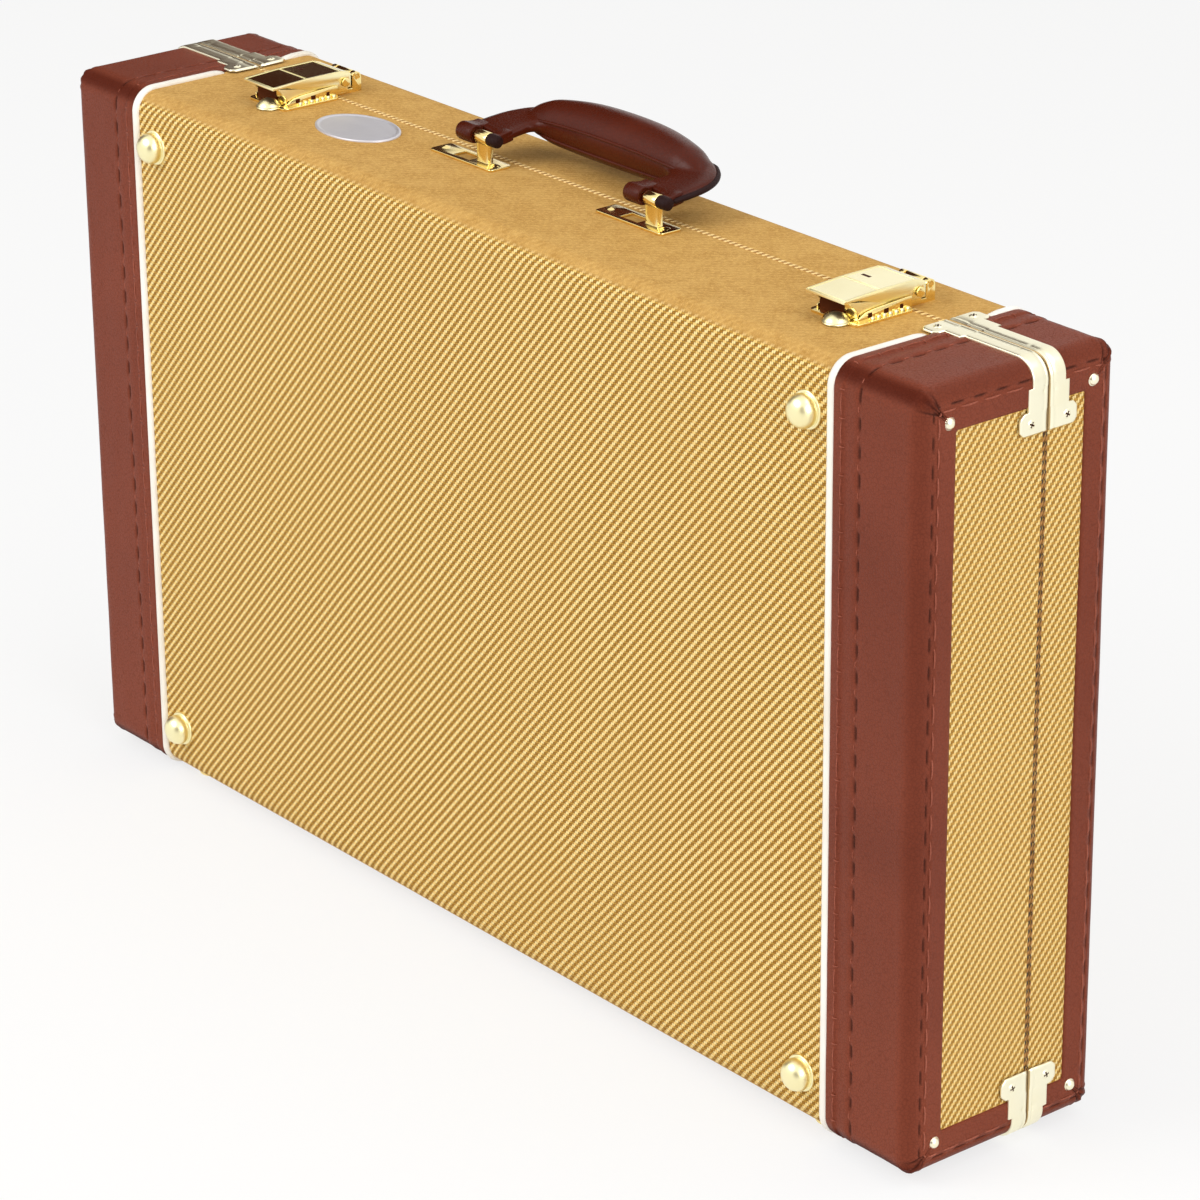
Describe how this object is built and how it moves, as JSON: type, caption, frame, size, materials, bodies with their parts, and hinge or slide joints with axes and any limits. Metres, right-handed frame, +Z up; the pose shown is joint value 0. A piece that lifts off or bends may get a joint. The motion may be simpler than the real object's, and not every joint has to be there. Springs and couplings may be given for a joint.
{
  "type": "pedalboard case",
  "caption": "Shallow hinged case for effect pedals, tweed covered with leather ends, piping, top handle, draw latches, corner clamps and a carpeted board inside.",
  "frame": {"origin": "middle of the footprint, on the ground under the four glides, case stored upright on its hinge side", "axes": "+X along the case to its right end, +Y from the footed face to the lid, +Z up to the handle"},
  "size_m": [0.6164, 0.1188, 0.3898],
  "materials": {
    "plywood": "raw ply",
    "tweed": "lacquered diagonal twill tweed",
    "leather": "satin grained, stitched",
    "piping": "satin white bead",
    "lining": "short plush",
    "carpet": "loop carpet",
    "foam": "convoluted foam",
    "rim": "matte brown",
    "gold": "polished plate",
    "silver": "brushed",
    "handle": "moulded, glossy"
  },
  "bodies": {
    "base": {"base_panel": "plywood", "base_top_wall": "plywood", "base_bottom_wall": "plywood", "base_left_wall": "plywood", "base_right_wall": "plywood", "base_tweed": "tweed", "base_end_tweed_left": "tweed", "base_end_tweed_right": "tweed", "base_leather_left": "leather", "base_leather_right": "leather", "base_piping_left": "piping", "base_piping_right": "piping", "rim_strip": "rim", "base_lining": "lining", "board_battens": "plywood", "pedal_board": "plywood", "board_carpet": "carpet", "base_clamps_left": "gold", "base_clamps_right": "gold", "base_feet": "gold", "base_end_studs": "gold", "base_glides": "gold", "base_screws": "gold", "badge_plate": "silver", "handle_plates": "gold", "latch_plate_left": "gold", "latch_plate_right": "gold", "base_hinge_leaves": "gold", "hinge_pins": "gold"},
    "lid": {"lid_panel": "plywood", "lid_top_wall": "plywood", "lid_bottom_wall": "plywood", "lid_left_wall": "plywood", "lid_right_wall": "plywood", "lid_tweed": "tweed", "lid_end_tweed_left": "tweed", "lid_end_tweed_right": "tweed", "lid_leather_left": "leather", "lid_leather_right": "leather", "lid_piping_left": "piping", "lid_piping_right": "piping", "lid_lining": "lining", "lid_foam": "foam", "lid_clamps_left": "gold", "lid_clamps_right": "gold", "lid_end_studs": "gold", "lid_glides": "gold", "lid_screws": "gold", "latch_keeper_left": "gold", "latch_keeper_right": "gold", "hasp_pins": "gold", "lid_hinge_leaves": "gold"},
    "handle": {"handle_grip": "handle", "handle_pins": "gold"},
    "hasp_left": {"hasp_left": "gold", "lever_pin_left": "gold"},
    "hasp_right": {"hasp_right": "gold", "lever_pin_right": "gold"},
    "lever_left": {"lever_left": "gold"},
    "lever_right": {"lever_right": "gold"}
  },
  "joints": [
    {"name": "lid_hinge", "type": "hinge", "parent": "base", "child": "lid", "pos_m": [0, 0.0181, 0.0028], "axis": [-1, 0, 0], "range_deg": [0, 110]},
    {"name": "handle_hinge", "type": "hinge", "parent": "base", "child": "handle", "pos_m": [0.01, 0.0061, 0.3722], "axis": [1, 0, 0], "range_deg": [-6, 170]},
    {"name": "hasp_left_hinge", "type": "hinge", "parent": "lid", "child": "hasp_left", "pos_m": [-0.1925, 0.0311, 0.3665], "axis": [-1, 0, 0], "range_deg": [0, 100]},
    {"name": "hasp_right_hinge", "type": "hinge", "parent": "lid", "child": "hasp_right", "pos_m": [0.2125, 0.0311, 0.3665], "axis": [-1, 0, 0], "range_deg": [0, 100]},
    {"name": "lever_left_hinge", "type": "hinge", "parent": "hasp_left", "child": "lever_left", "pos_m": [-0.1925, 0.0221, 0.3664], "axis": [-1, 0, 0], "range_deg": [0, 80]},
    {"name": "lever_right_hinge", "type": "hinge", "parent": "hasp_right", "child": "lever_right", "pos_m": [0.2125, 0.0221, 0.3664], "axis": [-1, 0, 0], "range_deg": [0, 80]}
  ]
}
